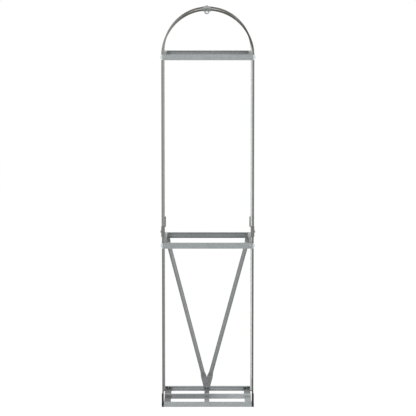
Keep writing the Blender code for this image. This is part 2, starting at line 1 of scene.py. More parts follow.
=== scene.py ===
"""The looks of a tall, narrow firewood rack of galvanised sheet steel.

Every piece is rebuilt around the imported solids, in metres and in their frame: sheet with bend
radii, smooth hoops and tubes, hexagon bolts with chamfers and threads, and moulded shoes.
"""

import math
import random

import bmesh
import bpy
from mathutils import Matrix, Vector


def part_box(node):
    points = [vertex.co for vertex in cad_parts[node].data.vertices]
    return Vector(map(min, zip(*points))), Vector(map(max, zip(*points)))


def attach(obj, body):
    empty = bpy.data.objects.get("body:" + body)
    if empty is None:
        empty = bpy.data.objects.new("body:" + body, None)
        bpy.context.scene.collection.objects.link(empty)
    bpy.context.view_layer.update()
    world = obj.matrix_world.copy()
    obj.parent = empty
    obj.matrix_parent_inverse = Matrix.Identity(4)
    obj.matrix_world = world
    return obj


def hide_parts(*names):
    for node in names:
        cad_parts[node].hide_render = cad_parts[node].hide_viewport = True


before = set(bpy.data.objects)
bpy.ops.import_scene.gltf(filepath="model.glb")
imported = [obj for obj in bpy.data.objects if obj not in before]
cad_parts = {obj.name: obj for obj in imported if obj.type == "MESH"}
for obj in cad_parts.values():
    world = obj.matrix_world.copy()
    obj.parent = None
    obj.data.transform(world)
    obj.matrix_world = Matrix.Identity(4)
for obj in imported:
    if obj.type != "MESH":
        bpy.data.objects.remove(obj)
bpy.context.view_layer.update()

# Sheet metal; SQUARE and HOLE_WALL_AREA tell a hole's wall from a flat
SHEET = 0.0012
BEND_RADIUS = 0.0016
EDGE_ROUND = 0.0004
BEND_STEPS = 3
SQUARE = 0.99
HOLE_WALL_AREA = 0.0000024
MERGE_DISTANCE = 0.000002
PLACE_DIGITS = 6
FLAT_ANGLE = math.radians(1)
SHARP_ANGLE = math.radians(60)
SHEET_SMOOTH = 32
HOLE_RADIUS = 0.0034
HOLE_SIDES = 32
HOLE_CUT = 4 * SHEET

# Hoops
HOOP_FLANGE = 0.009
HOOP_ARCH_STEPS = 128
HOOP_TIP_ROUND = 0.0003
OUTER_BEND_STEPS = 5
INNER_BEND_STEPS = 3
TIP_STEPS = 2

# Brace tubes
TUBE_DIAMETER = 0.022
TUBE_WALL = 0.0012
TUBE_PAD = 0.0028
TUBE_PAD_GAP = 0.0005
TUBE_PAD_WIDTH = 0.030
TUBE_PAD_TOP = 0.030
TUBE_PAD_FOOT = 0.068
TUBE_TAPER = 0.034
TUBE_TIP = 0.009
TUBE_TIP_ROUND = 0.008
TUBE_SIDES = 40
TUBE_EASE_STEPS = 12
TUBE_SMOOTH = 40
TUBE_CUT = 8 * SHEET

# Bolts and nuts
BOLT_RADIUS = 0.003
ACROSS_FLATS = 0.010
HEAD_HEIGHT = 0.004
NUT_HEIGHT = 0.005
BOLT_TAIL = 0.002
SHORT_TAIL = 0.0007
BOLT_GRIP = 0.005
THREAD_PITCH = 0.001
THREAD_SIDES = 24
THREAD_RINGS = 14
GROOVE_SHARE = 0.045
TIP_SHARE = 0.14
HEXAGON_SIDES = 36
SIXTH_TURN = math.radians(60)
CHAMFER_SHARE = 0.95
CHAMFER_ANGLE = math.radians(30)
DISC_SIDES = 32
SHANK_SIDES = 24
DOME_SIDES = 40
DOME_RINGS = 6
DOME_ANGLE = math.radians(78)
BOLT_SMOOTH = 28
WASHER_RADIUS = 0.0064
WASHER_HEIGHT = 0.0009
ROUND_HEAD_RADIUS = 0.006
SHOE_HEAD_HEIGHT = 0.0012
DECK_HEAD_HEIGHT = 0.0022
DECK_HEAD_GAP = 0.0002
DECK_BOLT_INSET = 0.014

# Eye bolt
EYE_WIRE = 0.006
EYE_DIAMETER = 0.025
EYE_TAIL = 0.003
EYE_ROOT_DEPTH = 0.6 * EYE_WIRE
EYE_ROOT_RADIUS = 0.42 * EYE_WIRE
EYE_NECK = 0.0004
EYE_STEPS = 48
EYE_SIDES = 20

# Shoes
SHOE_ROUND = 0.0006

# Patterns of the finishes: marks per metre along x, y and z, and lengths in metres
ALONG_X = (5.0, 700.0, 700.0)
ALONG_Y = (700.0, 5.0, 700.0)
ALONG_Z = (700.0, 700.0, 5.0)
ALL_WAYS = (600.0, 600.0, 600.0)
FLAKES_PER_METRE = 110.0
BOLT_FLAKES_PER_METRE = 500.0
STIRS_PER_METRE = 180.0
STIR_REACH = 0.004
GRAINS_PER_METRE = 900.0
PLASTIC_GRAINS_PER_METRE = 1400.0
ZINC_RELIEF = 0.00012
PLASTIC_RELIEF = 0.0001

# Shares and strengths of the finishes
FLAKES_SHARE = 0.55
MARKS_SHARE = 0.45
DULL_TONE = 0.90
WORN_TONE = 1.25
ZINC_WEAR = 0.7
PLASTIC_WEAR = 0.5

# Colours
OLIVE_ZINC = (0.232, 0.236, 0.217)
# Painted shade: the front hoop darkens towards the right.
RIGHT_HOOP_PAINTED_SHADE = (0.165, 0.167, 0.154)
# Painted shade over the front arch, strongest at the crown and down the right.
ARCH_PAINTED_SHADE = (0.078, 0.073, 0.063)
# Painted light: the rear hoop is a lighter copy of the front hoop's zinc.
REAR_HOOP_PAINTED_LIGHT = (0.32, 0.33, 0.31)
# Painted shade over the rear arch.
REAR_ARCH_PAINTED_SHADE = (0.135, 0.127, 0.113)
POST_ZINC = (0.182, 0.185, 0.170)
# Painted shade: the front posts darken towards the right.
RIGHT_POST_PAINTED_SHADE = (0.100, 0.101, 0.093)
# Painted light: the rear posts are a lighter copy of the front posts' zinc.
REAR_POST_PAINTED_LIGHT = (0.270, 0.280, 0.262)
SLEEVE_ZINC = (0.17, 0.175, 0.165)
# Painted light: the bright tone that the rear hoop, rear posts, rear right sleeve and front cross
# rail ends fade into.
PAINTED_LIGHT_ZINC = (0.62, 0.66, 0.63)
RAIL_ZINC = (0.350, 0.372, 0.372)
# Painted shade: the rear cross rails are a darker copy of the front ones' zinc.
REAR_RAIL_PAINTED_SHADE = (0.275, 0.290, 0.293)
SIDE_ZINC = (0.185, 0.198, 0.198)
# Painted light: the side rails lighten towards the rear.
REAR_SIDE_PAINTED_LIGHT = (0.420, 0.445, 0.445)
BLACK_PLASTIC = (0.0045, 0.0045, 0.0042)
DUSTY_PLASTIC = (0.010, 0.010, 0.009)
SCUFFED_PLASTIC = (0.014, 0.014, 0.0135)

# Fades of colour, which paint light and shade: the axis, and where along it they start and end
TO_THE_RIGHT = (0, -0.23, 0.23)
# Painted light: the middle floor rail lightens towards the right.
FROM_THE_MIDDLE = (0, -0.06, 0.20)
# Painted highlights at both ends of the front cross rails.
TO_BOTH_ENDS = (0, 0.2230, 0.2270)
# Painted light on the outer folds of the rear sleeves.
LEFT_SLEEVE_FOLD = (0, -0.2205, -0.2240)
RIGHT_SLEEVE_FOLD = (0, 0.2190, 0.2230)
# Painted shade: the middle bearer darkens towards the rear, and the right bearer behind the middle
# rail.
TO_THE_REAR = (1, -0.20, 0.0)
TO_THE_REAR_END = (1, -0.03, 0.19)
BEHIND_THE_MIDDLE = (1, 0.01, 0.09)

# Floor, lamps and camera
FLOOR_SIZE = 12.0
FLOOR_TONE = 0.80
FLOOR_GLOW = 1.08
FLOOR_GLOW_SHARE = 0.88
ROOM_LIGHT = 0.5
LAMP_SIZE = 3.0
LAMP_AIM = (0, 0, 1.0)
KEY_LAMP_PLACE = (-3.5, -6.0, 4.5)
KEY_LAMP_POWER = 220
FILL_LAMP_PLACE = (4.0, -5.0, 2.0)
FILL_LAMP_POWER = 70
CAMERA_PLACE = (-0.0184, -11.525, 2.317)
CAMERA_TURN = (math.radians(90 - 6.618), 0, -0.00172)
CAMERA_LENS = 198.1
CAMERA_SENSOR = 36
CAMERA_NEAR = 0.1
CAMERA_FAR = 200

LEFT_RIGHT = ((-1, "left"), (1, "right"))
FRONT_REAR = ((-1, "front"), (1, "rear"))
LEVELS = ("mid", "top")
CORNERS = tuple((side, end, end_name + "_" + side_name)
                for end, end_name in FRONT_REAR for side, side_name in LEFT_RIGHT)


# Finishes

def add_node(tree, kind, **settings):
    """A node with its settings."""
    node = tree.nodes.new(kind)
    for key, value in settings.items():
        setattr(node, key, value)
    return node


def feed(tree, socket, value):
    """Link a socket to another one, or set it to a written value."""
    if isinstance(value, bpy.types.NodeSocket):
        tree.links.new(value, socket)
    else:
        socket.default_value = value


def maths(tree, operation, *values, clamp=False):
    """A Math node fed by sockets or numbers; gives its result."""
    node = add_node(tree, "ShaderNodeMath", operation=operation, use_clamp=clamp)
    for socket, value in zip(node.inputs, values):
        feed(tree, socket, value)
    return node.outputs[0]


def remap(tree, value, start, end, low=0.0, high=1.0):
    """A clamped Map Range node: start gives low, and end gives high."""
    node = add_node(tree, "ShaderNodeMapRange")
    for socket, given in zip(node.inputs, (value, start, end, low, high)):
        feed(tree, socket, given)
    return node.outputs[0]


def scale(tree, vector, factor):
    """A vector or a colour times a factor."""
    node = add_node(tree, "ShaderNodeVectorMath", operation="SCALE")
    feed(tree, node.inputs[0], vector)
    feed(tree, node.inputs["Scale"], factor)
    return node.outputs[0]


def object_place(tree):
    """Where a point lies on its piece."""
    return add_node(tree, "ShaderNodeTexCoord").outputs["Object"]


def noise(tree, place, per_metre, detail, roughness=0.5):
    """Soft noise at a place; gives its node."""
    node = add_node(tree, "ShaderNodeTexNoise")
    for label, value in (("Vector", place), ("Scale", per_metre), ("Detail", detail),
                         ("Roughness", roughness)):
        feed(tree, node.inputs[label], value)
    return node


def mix_colours(tree, share, first, second):
    """A colour mix; colours may be sockets or written colours."""
    node = add_node(tree, "ShaderNodeMix", data_type="RGBA")
    feed(tree, node.inputs[0], share)
    for slot, colour in ((6, first), (7, second)):
        feed(tree, node.inputs[slot], (*colour, 1) if isinstance(colour, tuple) else colour)
    return node.outputs[2]


def shader_group(name, inputs, outputs):
    """An empty shader group with named sockets; gives the group and its two end nodes."""
    group = bpy.data.node_groups.new(name, "ShaderNodeTree")
    for label, default in inputs:
        kind = "NodeSocketVector" if isinstance(default, tuple) else "NodeSocketFloat"
        socket = group.interface.new_socket(label, in_out="INPUT", socket_type=kind)
        socket.default_value = default
    for label in outputs:
        group.interface.new_socket(label, in_out="OUTPUT", socket_type="NodeSocketFloat")
    return group, group.nodes.new("NodeGroupInput"), group.nodes.new("NodeGroupOutput")


def make_flake_group():
    """Zinc flakes: crystal-like patches of slightly different tone and height."""
    group, given, out = shader_group(
        "zinc_flakes", (("Flakes per metre", FLAKES_PER_METRE), ("Blur", 0.35)), ("Tone", "Height"))
    links = group.links
    place = object_place(group)
    stir = noise(group, place, STIRS_PER_METRE, 2.0)
    moved = add_node(group, "ShaderNodeVectorMath", operation="ADD")
    links.new(place, moved.inputs[0])
    links.new(scale(group, stir.outputs["Color"], STIR_REACH), moved.inputs[1])
    cells = add_node(group, "ShaderNodeTexVoronoi", feature="SMOOTH_F1")
    links.new(moved.outputs[0], cells.inputs["Vector"])
    links.new(given.outputs["Flakes per metre"], cells.inputs["Scale"])
    links.new(given.outputs["Blur"], cells.inputs["Smoothness"])
    split = add_node(group, "ShaderNodeSeparateColor")
    links.new(cells.outputs["Color"], split.inputs[0])
    tone = maths(group, "MULTIPLY_ADD", split.outputs[0], 0.7, 0.15)
    links.new(tone, out.inputs["Tone"])
    fine = noise(group, place, GRAINS_PER_METRE, 3.0)
    height = maths(group, "MULTIPLY_ADD", fine.outputs[0], 0.35, split.outputs[1])
    links.new(height, out.inputs["Height"])
    return group


def make_streak_group():
    """Rolling marks: fine streaks drawn out along the sheet."""
    group, given, out = shader_group("rolling_marks", (("Marks per metre", ALONG_Z),),
                                     ("Tone", "Height"))
    stretch = add_node(group, "ShaderNodeVectorMath", operation="MULTIPLY")
    group.links.new(object_place(group), stretch.inputs[0])
    group.links.new(given.outputs["Marks per metre"], stretch.inputs[1])
    marks = noise(group, stretch.outputs[0], 1.0, 4.0, 0.6)
    for label in ("Tone", "Height"):
        group.links.new(marks.outputs[0], out.inputs[label])
    return group


def make_dulling_group():
    """Dull patches: broad, soft areas where the zinc has greyed."""
    group, given, out = shader_group(
        "dull_patches", (("Patches per metre", 9.0), ("Amount", 0.5)), ("Mask",))
    broad = noise(group, object_place(group), given.outputs["Patches per metre"], 5.0, 0.62)
    patches = remap(group, broad.outputs[0], 0.42, 0.66)
    mask = maths(group, "MULTIPLY", patches, given.outputs["Amount"])
    group.links.new(mask, out.inputs["Mask"])
    return group


def make_edge_group():
    """Worn edges: a mask along bends and cut edges, broken up by fine noise."""
    group, given, out = shader_group(
        "worn_edges", (("Reach", 0.0009), ("Break-up", 140.0)), ("Mask",))
    links = group.links
    soft = add_node(group, "ShaderNodeBevel", samples=4)
    links.new(given.outputs["Reach"], soft.inputs["Radius"])
    true = add_node(group, "ShaderNodeNewGeometry")
    match = add_node(group, "ShaderNodeVectorMath", operation="DOT_PRODUCT")
    links.new(soft.outputs[0], match.inputs[0])
    links.new(true.outputs["Normal"], match.inputs[1])
    turned = remap(group, match.outputs["Value"], 0.995, 0.80)
    specks = noise(group, object_place(group), given.outputs["Break-up"], 3.0)
    broken = remap(group, specks.outputs[0], 0.35, 0.62)
    links.new(maths(group, "MULTIPLY", turned, broken), out.inputs["Mask"])
    return group


def make_arch_shade_group():
    """A mask of painted shade on the hoops: full at the crown, and from the springing up on the
    right.
    """
    group, given, out = shader_group(
        "arch_painted_shade", (("Springing", 1.775), ("Crown", 1.955), ("Reach", 0.19)), ("Mask",))
    split = add_node(group, "ShaderNodeSeparateXYZ")
    group.links.new(object_place(group), split.inputs[0])
    high = remap(group, split.outputs[2], given.outputs["Springing"], given.outputs["Crown"])
    right = maths(group, "DIVIDE", split.outputs[0], given.outputs["Reach"], clamp=True)
    above = maths(group, "MULTIPLY", high, 5.0, clamp=True)
    side = maths(group, "MULTIPLY", above, right)
    crown = maths(group, "POWER", high, 2.2)
    group.links.new(maths(group, "MAXIMUM", side, crown), out.inputs["Mask"])
    return group


FLAKES = make_flake_group()
STREAKS = make_streak_group()
DULLING = make_dulling_group()
EDGES = make_edge_group()
ARCH_SHADE_MASK = make_arch_shade_group()


def place_group(tree, group, **values):
    """A group node with its inputs set by name, with _ for a space."""
    node = add_node(tree, "ShaderNodeGroup", node_tree=group)
    for label, value in values.items():
        node.inputs[label.replace("_", " ")].default_value = value
    return node


def new_material(name):
    """A material, with its tree and its shader."""
    material = bpy.data.materials.new(name)
    material.use_nodes = True
    return material, material.node_tree, material.node_tree.nodes["Principled BSDF"]


def add_relief(tree, shader, height, strength, depth):
    """Fine relief on a shader."""
    bump = add_node(tree, "ShaderNodeBump")
    for label, value in (("Strength", strength), ("Distance", depth), ("Height", height)):
        feed(tree, bump.inputs[label], value)
    tree.links.new(bump.outputs[0], shader.inputs["Normal"])


def make_zinc(name, colour, marks, roughness=0.42, metallic=0.55, spread=0.10,
              flakes=FLAKES_PER_METRE, fade=None, both_ways=False, arch_shade_colour=None):
    """Galvanised steel: flakes, rolling marks, dull patches and brighter worn edges.

    A fade (axis, start, end, colour) paints light and shade as a slow turn of the steel into
    another colour along an axis, or both ways from the middle; an arch colour paints shade over the
    arches."""
    material, tree, shader = new_material(name)
    shader.inputs["Metallic"].default_value = metallic
    flake = place_group(tree, FLAKES, Flakes_per_metre=flakes)
    streak = place_group(tree, STREAKS, Marks_per_metre=marks)
    dull = place_group(tree, DULLING)
    edge = place_group(tree, EDGES)
    base = colour
    if fade:
        axis, start, end, far_colour = fade
        split = add_node(tree, "ShaderNodeSeparateXYZ")
        tree.links.new(object_place(tree), split.inputs[0])
        along = maths(tree, "ABSOLUTE", split.outputs[axis]) if both_ways else split.outputs[axis]
        base = mix_colours(tree, remap(tree, along, start, end), colour, far_colour)
    # Painted shade over the arch.
    if arch_shade_colour:
        arch_shade = place_group(tree, ARCH_SHADE_MASK)
        base = mix_colours(tree, arch_shade.outputs["Mask"], base, arch_shade_colour)
    marked = maths(tree, "MULTIPLY", streak.outputs["Tone"], MARKS_SHARE)
    blend = maths(tree, "MULTIPLY_ADD", flake.outputs["Tone"], FLAKES_SHARE, marked)
    toned = scale(tree, base, remap(tree, blend, 0.15, 0.85, 1 - spread, 1 + spread))
    patched = mix_colours(tree, dull.outputs["Mask"], toned, scale(tree, toned, DULL_TONE))
    wear = maths(tree, "MULTIPLY", edge.outputs["Mask"], ZINC_WEAR)
    worn = mix_colours(tree, wear, patched, scale(tree, toned, WORN_TONE))
    tree.links.new(worn, shader.inputs["Base Color"])
    rough = maths(tree, "MULTIPLY_ADD", flake.outputs["Tone"], 0.14, roughness - 0.07)
    rougher = maths(tree, "MULTIPLY_ADD", dull.outputs["Mask"], 0.12, rough)
    smoother = maths(tree, "MULTIPLY_ADD", edge.outputs["Mask"], -0.10, rougher)
    tree.links.new(smoother, shader.inputs["Roughness"])
    relief = maths(tree, "MULTIPLY_ADD", streak.outputs["Height"], 0.5, flake.outputs["Height"])
    add_relief(tree, shader, relief, 0.22, ZINC_RELIEF)
    return material


def make_plastic():
    """Black moulded plastic: a fine grain, with scuffed, greyer edges."""
    material, tree, shader = new_material("black_moulded_plastic")
    grain = noise(tree, object_place(tree), PLASTIC_GRAINS_PER_METRE, 2.0)
    dust = place_group(tree, DULLING, Patches_per_metre=45.0, Amount=0.35)
    edge = place_group(tree, EDGES, Reach=0.0012)
    dusty = mix_colours(tree, dust.outputs["Mask"], BLACK_PLASTIC, DUSTY_PLASTIC)
    scuffs = maths(tree, "MULTIPLY", edge.outputs["Mask"], PLASTIC_WEAR)
    scuffed = mix_colours(tree, scuffs, dusty, SCUFFED_PLASTIC)
    tree.links.new(scuffed, shader.inputs["Base Color"])
    rough = maths(tree, "MULTIPLY_ADD", dust.outputs["Mask"], 0.25, 0.48)
    tree.links.new(rough, shader.inputs["Roughness"])
    shader.inputs["Specular IOR Level"].default_value = 0.25
    add_relief(tree, shader, grain.outputs[0], 0.25, PLASTIC_RELIEF)
    return material


# Front hoop: painted shade darkening it towards the right and over the arch.
hoop_zinc = make_zinc("hoop_zinc", OLIVE_ZINC, ALONG_Z, fade=(*TO_THE_RIGHT, RIGHT_HOOP_PAINTED_SHADE),
                      arch_shade_colour=ARCH_PAINTED_SHADE)
# Rear hoop: painted light, lighter than the front hoop and lighter still towards the right, with
# painted shade over the arch.
rear_hoop_zinc = make_zinc("rear_hoop_zinc", REAR_HOOP_PAINTED_LIGHT, ALONG_Z,
                           fade=(*TO_THE_RIGHT, PAINTED_LIGHT_ZINC), arch_shade_colour=REAR_ARCH_PAINTED_SHADE)
# Front posts: painted shade towards the right; rear posts: painted light, lighter still towards the
# right.
post_zinc = make_zinc("post_zinc", POST_ZINC, ALONG_Z, fade=(*TO_THE_RIGHT, RIGHT_POST_PAINTED_SHADE))
rear_post_zinc = make_zinc("rear_post_zinc", REAR_POST_PAINTED_LIGHT, ALONG_Z,
                           fade=(*TO_THE_RIGHT, PAINTED_LIGHT_ZINC))
sleeve_zinc = make_zinc("sleeve_zinc", SLEEVE_ZINC, ALONG_Z)
# Rear sleeves: painted light on their outer folds, like the rear posts.
rear_left_sleeve_zinc = make_zinc("rear_left_sleeve_zinc", SLEEVE_ZINC, ALONG_Z,
                                  fade=(*LEFT_SLEEVE_FOLD, REAR_HOOP_PAINTED_LIGHT))
rear_right_sleeve_zinc = make_zinc("rear_right_sleeve_zinc", SLEEVE_ZINC, ALONG_Z,
                                   fade=(*RIGHT_SLEEVE_FOLD, PAINTED_LIGHT_ZINC))
REAR_SLEEVE_PAINTED_LIGHT = {"rear_left": rear_left_sleeve_zinc, "rear_right": rear_right_sleeve_zinc}
rail_zinc = make_zinc("rail_zinc", RAIL_ZINC, ALONG_X)
# Front cross rails: painted highlights at both ends.
cross_rail_zinc = make_zinc("cross_rail_zinc", (0.312, 0.333, 0.336), ALONG_X,
                            fade=(*TO_BOTH_ENDS, PAINTED_LIGHT_ZINC), both_ways=True)
# Painted light: the rear floor rail is a lighter copy of the front floor rail's zinc, against the
# shade it lies in.
rear_floor_rail_painted_light_zinc = make_zinc("rear_floor_rail_painted_light_zinc", (0.410, 0.433, 0.437), ALONG_X)
rear_rail_zinc = make_zinc("rear_rail_zinc", REAR_RAIL_PAINTED_SHADE, ALONG_X)
# Middle floor rail: painted light, lighter towards the right.
middle_rail_zinc = make_zinc("middle_rail_zinc", (0.245, 0.257, 0.260), ALONG_X,
                             fade=(*FROM_THE_MIDDLE, (0.46, 0.485, 0.49)))
# Side rails: painted light, lighter towards the rear.
side_rail_zinc = make_zinc("side_rail_zinc", SIDE_ZINC, ALONG_Y,
                           fade=(*TO_THE_REAR_END, REAR_SIDE_PAINTED_LIGHT))
# Bearers: painted shade, the middle one darker towards the rear, the left one a dark shaded copy,
# the right one darker behind the middle rail.
bearer_zinc = make_zinc("bearer_zinc", RAIL_ZINC, ALONG_Y,
                        fade=(*TO_THE_REAR, (0.240, 0.252, 0.255)))
left_bearer_painted_shadow_zinc = make_zinc("left_bearer_painted_shadow_zinc", (0.120, 0.125, 0.125), ALONG_Y)
right_bearer_zinc = make_zinc("right_bearer_zinc", (0.370, 0.392, 0.395), ALONG_Y,
                              fade=(*BEHIND_THE_MIDDLE, (0.155, 0.165, 0.168)))
ridge_zinc = make_zinc("ridge_zinc", (0.175, 0.187, 0.192), ALONG_Y)
tube_zinc = make_zinc("tube_zinc", (0.265, 0.277, 0.277), ALONG_Z, roughness=0.38)
bolt_zinc = make_zinc("bolt_zinc", (0.36, 0.38, 0.41), ALL_WAYS, roughness=0.32, metallic=0.85,
                      flakes=BOLT_FLAKES_PER_METRE)
# Painted highlight: the corner rail bolts are a much lighter copy of the bolt zinc.
painted_highlight_bolt_zinc = make_zinc("painted_highlight_bolt_zinc", (0.74, 0.77, 0.79), ALL_WAYS, roughness=0.30,
                             metallic=0.85, flakes=BOLT_FLAKES_PER_METRE)
plastic = make_plastic()


# Shapes

def finish_piece(name, mesh, material, nodes):
    """Show a mesh as a piece that stands for its solids and rides with them."""
    mesh.materials.clear()
    mesh.materials.append(material)
    piece = bpy.data.objects.new(name, mesh)
    bpy.context.scene.collection.objects.link(piece)
    if nodes:
        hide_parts(*nodes)
    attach(piece, "root")
    return piece


def plain_mesh(helper, name):
    """The plain mesh of an object with its modifiers; the object is dropped."""
    graph = bpy.context.evaluated_depsgraph_get()
    mesh = bpy.data.meshes.new_from_object(helper.evaluated_get(graph))
    mesh.name = name
    bpy.data.objects.remove(helper)
    return mesh


def settle(helper, name, smooth_angle=SHEET_SMOOTH):
    """The plain mesh of an object, shaded so that its flats are flat and its bends are round."""
    mesh = plain_mesh(helper, name)
    mesh.shade_smooth()
    mesh.set_sharp_from_angle(angle=math.radians(smooth_angle))
    shaded = bpy.data.objects.new(name, mesh)
    bpy.context.scene.collection.objects.link(shaded)
    even = shaded.modifiers.new("even shading", "WEIGHTED_NORMAL")
    even.keep_sharp = True
    return plain_mesh(shaded, name)


def helper_object(name, shape):
    """An object made from a bmesh, which is freed."""
    mesh = bpy.data.meshes.new(name)
    shape.to_mesh(mesh)
    shape.free()
    helper = bpy.data.objects.new(name, mesh)
    bpy.context.scene.collection.objects.link(helper)
    return helper


def round_holes(shape):
    """Each round hole of a sheet as its middle and its axis, found by its slanted walls."""
    left = {face for face in shape.faces if max(abs(part) for part in face.normal) < SQUARE}
    holes = []
    while left:
        group, edge_of_group = [], [left.pop()]
        while edge_of_group:
            face = edge_of_group.pop()
            group.append(face)
            near = {other for vert in face.verts for other in vert.link_faces} & left
            left -= near
            edge_of_group += near
        places = [vert.co for face in group for vert in face.verts]
        middle = [(min(place[i] for place in places) + max(place[i] for place in places)) / 2
                  for i in range(3)]
        axis = min(range(3), key=lambda i: max(abs(face.normal[i]) for face in group))
        holes.append((middle, axis))
    return holes


def straighten_seams(shape):
    """Leave seams in the flats only straight across the holes."""
    planes = {(i, round(middle[i], PLACE_DIGITS)) for middle, axis in round_holes(shape)
              for i in range(3) if i != axis}
    for i, place in sorted(planes):
        normal = Vector([float(j == i) for j in range(3)])
        bmesh.ops.bisect_plane(shape, geom=shape.verts[:] + shape.edges[:] + shape.faces[:],
                               dist=MERGE_DISTANCE, plane_co=normal * place, plane_no=normal)
    for edge in shape.edges:
        edge.seam = any(all(abs(vert.co[i] - place) < MERGE_DISTANCE for vert in edge.verts)
                        for i, place in planes)
    bmesh.ops.dissolve_limit(shape, angle_limit=FLAT_ANGLE, verts=shape.verts, edges=shape.edges,
                             delimit={"SEAM"})


def mark_edges(shape):
    """Weights for the bevel: every outer edge but the rims of holes."""
    weights = shape.edges.layers.float.new("bevel_weight_edge")
    for edge in shape.edges:
        square = len(edge.link_faces) == 2 and edge.calc_face_angle(0) > SHARP_ANGLE
        if square and edge.is_convex and not any(
                max(abs(part) for part in face.normal) < SQUARE or face.calc_area() < HOLE_WALL_AREA
                for face in edge.link_faces):
            edge[weights] = 1


def rounded_copy(node, name, radius=EDGE_ROUND):
    """A solid's mesh, merged, with its bends and its cut edges rounded."""
    shape = bmesh.new()
    shape.from_mesh(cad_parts[node].data)
    bmesh.ops.remove_doubles(shape, verts=shape.verts, dist=MERGE_DISTANCE)
    straighten_seams(shape)
    mark_edges(shape)
    helper = helper_object(name, shape)
    bend = helper.modifiers.new("bends", "BEVEL")
    bend.limit_method = "WEIGHT"
    bend.width = radius
    bend.segments = BEND_STEPS
    bend.use_clamp_overlap = False
    return settle(helper, name)


def drilled(helper, holes, length):
    """Add round holes, each given by its middle and its direction, as one boolean."""
    shape = bmesh.new()
    for middle, direction in holes:
        turn = Vector(direction).to_track_quat("Z", "Y").to_matrix().to_4x4()
        bmesh.ops.create_cone(shape, cap_ends=True, segments=HOLE_SIDES, radius1=HOLE_RADIUS,
                              radius2=HOLE_RADIUS, depth=length,
                              matrix=Matrix.Translation(middle) @ turn)
    cutter = helper_object(helper.name + "_cutter", shape)
    cut = helper.modifiers.new("holes", "BOOLEAN")
    cut.operation = "DIFFERENCE"
    cut.solver = "EXACT"
    cut.object = cutter
    return cutter


def node_middle(node):
    """The middle of a solid's box."""
    low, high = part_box(node)
    return (low + high) / 2


def channel_outline(depth, flange):
    """A channel's outline as (inset, along) points, with round bends and eased tips."""
    outline = []

    def arc(centre_in, centre_along, radius, start, end, steps):
        """Points from one angle to another, in degrees."""
        for i in range(steps + 1):
            turn = math.radians(start + (end - start) * i / steps)
            outline.append((centre_in + radius * math.cos(turn),
                            centre_along + radius * math.sin(turn)))

    inner = BEND_RADIUS - SHEET
    tip = HOOP_TIP_ROUND
    arc(BEND_RADIUS, BEND_RADIUS, BEND_RADIUS, 180, 270, OUTER_BEND_STEPS)
    arc(flange - tip, tip, tip, -90, 0, TIP_STEPS)
    arc(flange - tip, SHEET - tip, tip, 0, 90, TIP_STEPS)
    arc(BEND_RADIUS, BEND_RADIUS, inner, 270, 180, INNER_BEND_STEPS)
    arc(BEND_RADIUS, depth - BEND_RADIUS, inner, 180, 90, INNER_BEND_STEPS)
    arc(flange - tip, depth - SHEET + tip, tip, -90, 0, TIP_STEPS)
    arc(flange - tip, depth - tip, tip, 0, 90, TIP_STEPS)
    arc(BEND_RADIUS, depth - BEND_RADIUS, BEND_RADIUS, 90, 180, OUTER_BEND_STEPS)
    return outline


def join_loops(shape, loops, closed_path=False):
    """Quads between loops of vertices, one after the other."""
    pairs = list(zip(loops, loops[1:])) + ([(loops[-1], loops[0])] if closed_path else [])
    for near, far in pairs:
        for i in range(len(near)):
            j = (i + 1) % len(near)
            shape.faces.new((near[i], near[j], far[j], far[i]))


def make_hoop(name, material):
    """A hoop: the channel's outline carried up one leg, over the arch and down the other."""
    node = "hoop_" + name
    low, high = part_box(node)
    radius = (high.x - low.x) / 2
    spring = high.z - radius
    outline = channel_outline(high.y - low.y, HOOP_FLANGE)
    path = [(-1, 0, low.z)]
    for i in range(HOOP_ARCH_STEPS + 1):
        turn = math.pi * i / HOOP_ARCH_STEPS
        path.append((-math.cos(turn), math.sin(turn), spring))
    path.append((1, 0, low.z))
    shape = bmesh.new()
    loops = [[shape.verts.new((sideways * (radius - inset), low.y + along,
                               base + upwards * (radius - inset))) for inset, along in outline]
             for sideways, upwards, base in path]
    join_loops(shape, loops)
    shape.faces.new(loops[0])
    shape.faces.new(loops[-1])
    bmesh.ops.recalc_face_normals(shape, faces=shape.faces)
    helper = helper_object(node + "_sheet", shape)
    middle = (low.y + high.y) / 2
    crown = node_middle("crown_bolt").x
    holes = [((crown, middle, high.z), (0, 0, 1))]
    for bolt in ("joint_bolt_", "rail_bolt_top_"):
        for side, side_name in LEFT_RIGHT:
            height = node_middle(bolt + name + "_" + side_name).z
            holes.append(((side * radius, middle, height), (1, 0, 0)))
    cutter = drilled(helper, holes, HOLE_CUT)
    mesh = settle(helper, node + "_sheet")
    bpy.data.objects.remove(cutter)
    finish_piece(node + "_sheet", mesh, material, [node])


def tube_section(width, height):
    """Points round a tube's section, from a full circle to a flat pad."""
    points = []
    for i in range(TUBE_SIDES):
        turn = 2 * math.pi * i / TUBE_SIDES
        rise = math.sin(turn) * (2 - height / TUBE_DIAMETER)
        points.append((math.cos(turn) * width / 2, max(-1, min(1, rise)) * height / 2))
    return points


def tube_stations(length):
    """Places along a brace, each with its share of crushing and of its full width."""
    tip_shares = ((0, 0.55), (0.12, 0.66), (0.3, 0.77), (0.5, 0.86), (0.75, 0.94), (1, 1))
    stations = [(TUBE_TIP_ROUND * along, 1, width) for along, width in tip_shares]
    steps = TUBE_EASE_STEPS
    ease = [0.5 - 0.5 * math.cos(math.pi * i / steps) for i in range(steps + 1)]
    for i, share in enumerate(ease):
        stations.append((TUBE_PAD_FOOT + TUBE_TAPER * i / steps, 1 - share, 1))
    for i, share in enumerate(ease):
        stations.append((length - TUBE_PAD_TOP - TUBE_TAPER * (steps - i) / steps, share, 1))
    stations += [(length - TUBE_TIP_ROUND * along, 1, width)
                 for along, width in reversed(tip_shares)]
    return stations


